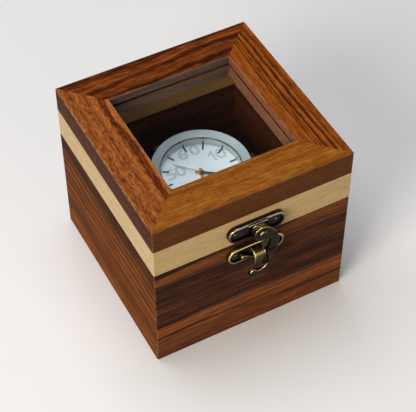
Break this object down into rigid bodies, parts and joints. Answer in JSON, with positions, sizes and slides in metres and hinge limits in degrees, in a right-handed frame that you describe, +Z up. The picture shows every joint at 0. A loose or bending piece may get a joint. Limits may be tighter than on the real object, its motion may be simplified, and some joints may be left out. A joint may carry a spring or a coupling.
{
  "type": "pocket watch display box",
  "caption": "Square glass-topped wooden box with a hinged lid and a cast hook latch, holding a strapped watch on a cushion.",
  "frame": {"origin": "centre of the box's underside, on the surface it stands on", "axes": "+X to the right seen from the latch side, +Y from the latch towards the hinges, +Z up"},
  "size_m": [0.1, 0.1127, 0.0913],
  "materials": {
    "rosewood_rails": "satin varnished rosewood, orange brown with dark streaks",
    "maple_band": "satin varnished maple",
    "rosewood_walls": "satin varnished dark rosewood with orange streaks",
    "plywood_bottom": "plain sanded plywood",
    "felt_lining": "black felt",
    "window_glass": "clear polished",
    "antique_brass": "cast, blackened, rubbed bright on the edges",
    "cushion_velvet": "black velvet",
    "strap_leather": "black grained leather",
    "watch_steel": "finely brushed",
    "dial_white": "matt white enamel paint",
    "ring_grey": "satin grey",
    "marker_black": "gloss black",
    "hand_orange": "satin orange paint",
    "hand_grey": "satin grey paint",
    "crystal_glass": "clear polished",
    "gasket_rubber": "dark green black",
    "movement_brass": "plain machined"
  },
  "bodies": {
    "case": {"wall_front": "rosewood_walls", "wall_right": "rosewood_walls", "wall_back": "rosewood_walls", "wall_left": "rosewood_walls", "bottom_panel": "plywood_bottom", "floor_lining": "felt_lining", "hinge_base_leaf_left": "antique_brass", "hinge_base_leaf_right": "antique_brass", "hinge_pin_left": "antique_brass", "hinge_pin_right": "antique_brass", "hinge_base_nails": "antique_brass", "catch_plate": "antique_brass", "catch_nails": "antique_brass", "watch_cushion": "cushion_velvet", "strap_tail_half": "strap_leather", "strap_buckle_half": "strap_leather", "strap_keeper": "strap_leather", "watch_back": "watch_steel", "watch_middle": "watch_steel", "spring_bars": "watch_steel", "bezel": "watch_steel", "buckle": "watch_steel", "buckle_tongue": "watch_steel", "dial": "dial_white", "dial_ring": "ring_grey", "hour_markers": "marker_black", "crystal": "crystal_glass", "crystal_gasket": "gasket_rubber", "movement": "movement_brass"},
    "lid": {"frame_rail_front": "rosewood_rails", "frame_rail_right": "rosewood_rails", "frame_rail_back": "rosewood_rails", "frame_rail_left": "rosewood_rails", "band_front": "maple_band", "band_right": "maple_band", "band_back": "maple_band", "band_left": "maple_band", "glass_pane": "window_glass", "hinge_lid_leaf_left": "antique_brass", "hinge_lid_leaf_right": "antique_brass", "hinge_lid_nails": "antique_brass", "latch_plate": "antique_brass", "latch_nails": "antique_brass", "latch_washer": "antique_brass", "latch_rivet": "antique_brass"},
    "latch_hook": {"latch_hook": "antique_brass"},
    "hour_hand": {"hour_hand": "hand_orange"},
    "minute_hand": {"minute_hand": "hand_orange"},
    "second_hand": {"second_hand": "hand_grey"},
    "crown": {"crown": "watch_steel"}
  },
  "joints": [
    {"name": "lid_hinge", "type": "hinge", "parent": "case", "child": "lid", "pos_m": [0, 0.05175, 0.06225], "axis": [-1, 0, 0], "range_deg": [0, 105]},
    {"name": "latch_turn", "type": "hinge", "parent": "lid", "child": "latch_hook", "pos_m": [0.0006, -0.0557, 0.07015], "axis": [0, -1, 0], "range_deg": [0, 110]},
    {"name": "minute_hand_turn", "type": "hinge", "parent": "case", "child": "minute_hand", "pos_m": [0, 0, 0.05425], "axis": [0, 0, -1], "continuous": true},
    {"name": "hour_hand_turn", "type": "hinge", "parent": "case", "child": "hour_hand", "pos_m": [0, 0, 0.05425], "axis": [0, 0, -1], "continuous": true},
    {"name": "second_hand_turn", "type": "hinge", "parent": "case", "child": "second_hand", "pos_m": [0, 0, 0.05425], "axis": [0, 0, -1], "continuous": true},
    {"name": "crown_turn", "type": "hinge", "parent": "case", "child": "crown", "pos_m": [0.0246, 0, 0.05067], "axis": [1, 0, 0], "continuous": true}
  ],
  "couplings": [
    {"joint": "hour_hand_turn", "follows": "minute_hand_turn", "ratio": 0.083333}
  ]
}
